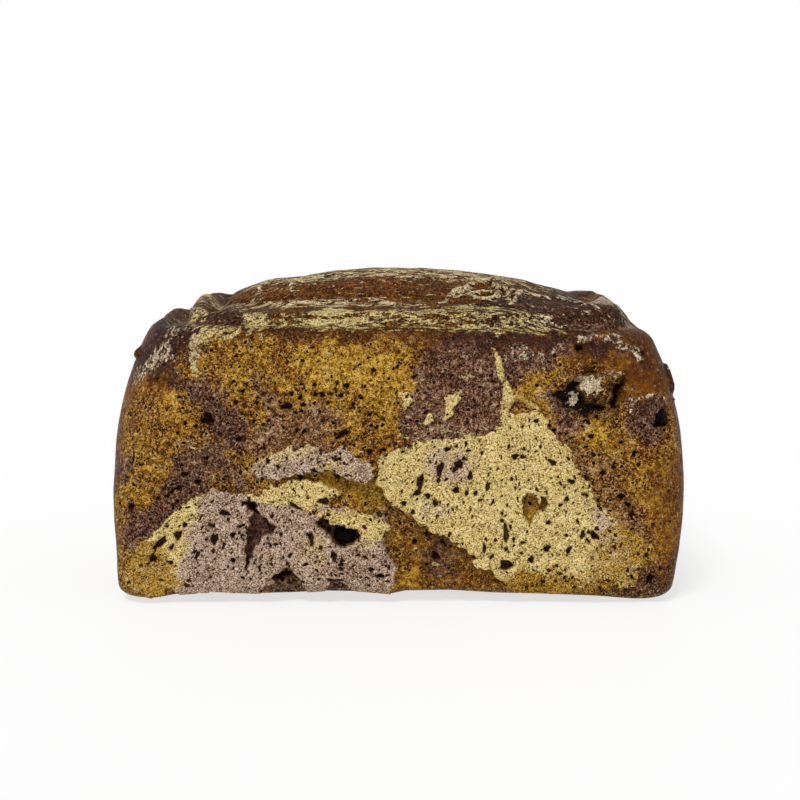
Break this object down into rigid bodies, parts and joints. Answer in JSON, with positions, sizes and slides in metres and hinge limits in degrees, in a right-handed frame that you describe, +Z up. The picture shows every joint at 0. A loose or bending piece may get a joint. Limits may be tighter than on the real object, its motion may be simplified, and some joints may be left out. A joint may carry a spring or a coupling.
{
  "type": "tin loaf",
  "caption": "Whole tin-baked bread loaf with flat base, straight walls, rounded shoulders, low domed top, torn floured crust relief and raisins set in the front wall.",
  "frame": {"origin": "middle of the flat base", "axes": "+X along the loaf's length, to the right of its torn front face; +Y towards the back; +Z up"},
  "size_m": [0.195, 0.106, 0.1112],
  "materials": {
    "crust": "matte",
    "raisin": "satin"
  },
  "bodies": {
    "root": {"loaf": "crust", "raisin_left": "raisin", "raisin_right": "raisin"}
  },
  "joints": []
}
